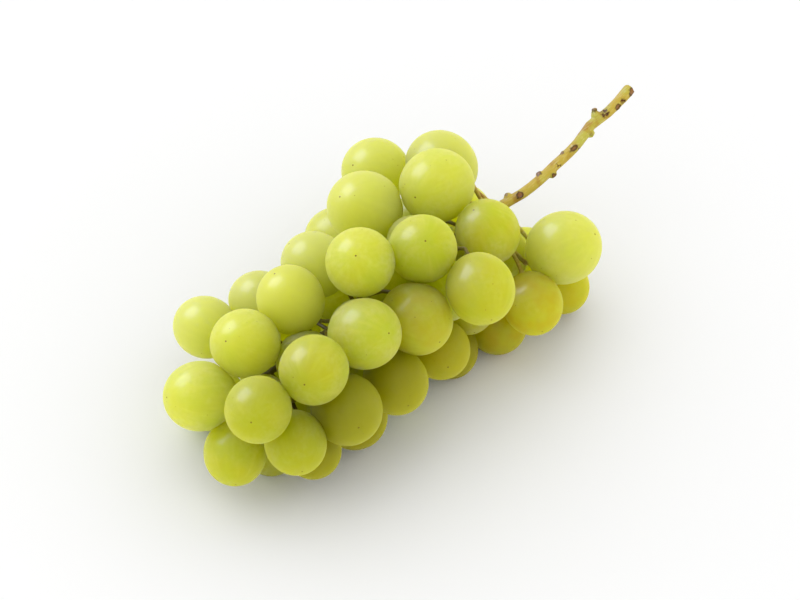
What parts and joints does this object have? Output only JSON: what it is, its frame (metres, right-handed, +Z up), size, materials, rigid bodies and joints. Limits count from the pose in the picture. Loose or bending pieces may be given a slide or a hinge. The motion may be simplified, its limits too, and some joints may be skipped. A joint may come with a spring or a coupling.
{
  "type": "bunch of grapes",
  "caption": "Bunch of round green table grapes lying on its side, each berry on its own small stalk, with a cut, knotty main stem sticking out at one end.",
  "frame": {"origin": "under the middle of the bunch's bounding box, on the surface that it lies on", "axes": "+Z up, +X along the bunch towards the cut end of its stem"},
  "size_m": [0.1996, 0.0992, 0.0741],
  "materials": {
    "berry": "soft waxy gloss over translucent green-yellow flesh",
    "stem": "matte yellow-green, brown at its scars and cut end"
  },
  "bodies": {
    "root": {"berry_01": "berry", "berry_02": "berry", "berry_03": "berry", "berry_04": "berry", "berry_05": "berry", "berry_06": "berry", "berry_07": "berry", "berry_08": "berry", "berry_09": "berry", "berry_10": "berry", "berry_11": "berry", "berry_12": "berry", "berry_13": "berry", "berry_14": "berry", "berry_15": "berry", "berry_16": "berry", "berry_17": "berry", "berry_18": "berry", "berry_19": "berry", "berry_20": "berry", "berry_21": "berry", "berry_22": "berry", "berry_23": "berry", "berry_24": "berry", "berry_25": "berry", "berry_26": "berry", "berry_27": "berry", "berry_28": "berry", "berry_29": "berry", "berry_30": "berry", "berry_31": "berry", "berry_32": "berry", "berry_33": "berry", "berry_34": "berry", "berry_35": "berry", "berry_36": "berry", "berry_37": "berry", "berry_38": "berry", "berry_39": "berry", "berry_40": "berry", "berry_41": "berry", "berry_42": "berry", "berry_43": "berry", "berry_44": "berry", "berry_45": "berry", "berry_46": "berry", "berry_47": "berry", "berry_48": "berry", "berry_49": "berry", "berry_50": "berry", "berry_51": "berry", "berry_52": "berry", "berry_53": "berry", "berry_54": "berry", "berry_55": "berry", "berry_56": "berry", "berry_57": "berry", "berry_58": "berry", "stem": "stem"}
  },
  "joints": []
}
